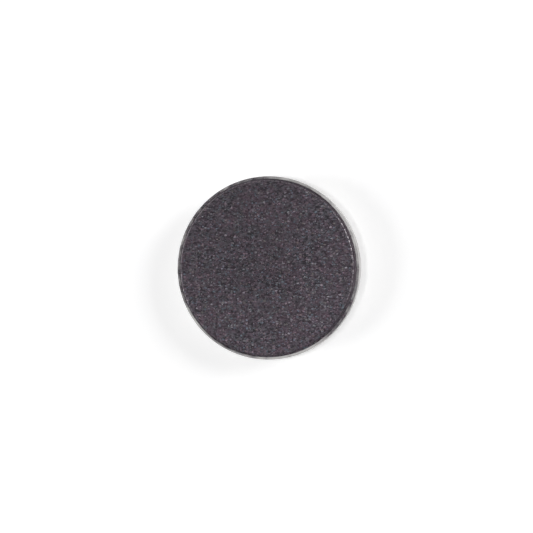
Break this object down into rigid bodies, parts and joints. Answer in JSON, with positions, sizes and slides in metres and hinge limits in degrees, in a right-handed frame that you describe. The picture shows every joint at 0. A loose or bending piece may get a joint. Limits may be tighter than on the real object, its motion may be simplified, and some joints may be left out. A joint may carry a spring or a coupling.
{
  "type": "pressed powder refill pan",
  "caption": "Round shallow metal pan filled with a slightly crowned cake of pressed cosmetic powder, with a blank paper label in the recess under its base.",
  "frame": {"origin": "centre of the foot ring, on the surface that the pan stands on", "axes": "+Z along the axis of the pan, from its base towards the powder; +X points at the widest part of the groove between the powder and the wall"},
  "size_m": [0.026, 0.026, 0.0044],
  "materials": {
    "tinplate": "satin",
    "pressed_powder": "matte",
    "label_paper": "matte"
  },
  "bodies": {
    "root": {"pan": "tinplate", "powder_cake": "pressed_powder", "base_label": "label_paper"}
  },
  "joints": []
}
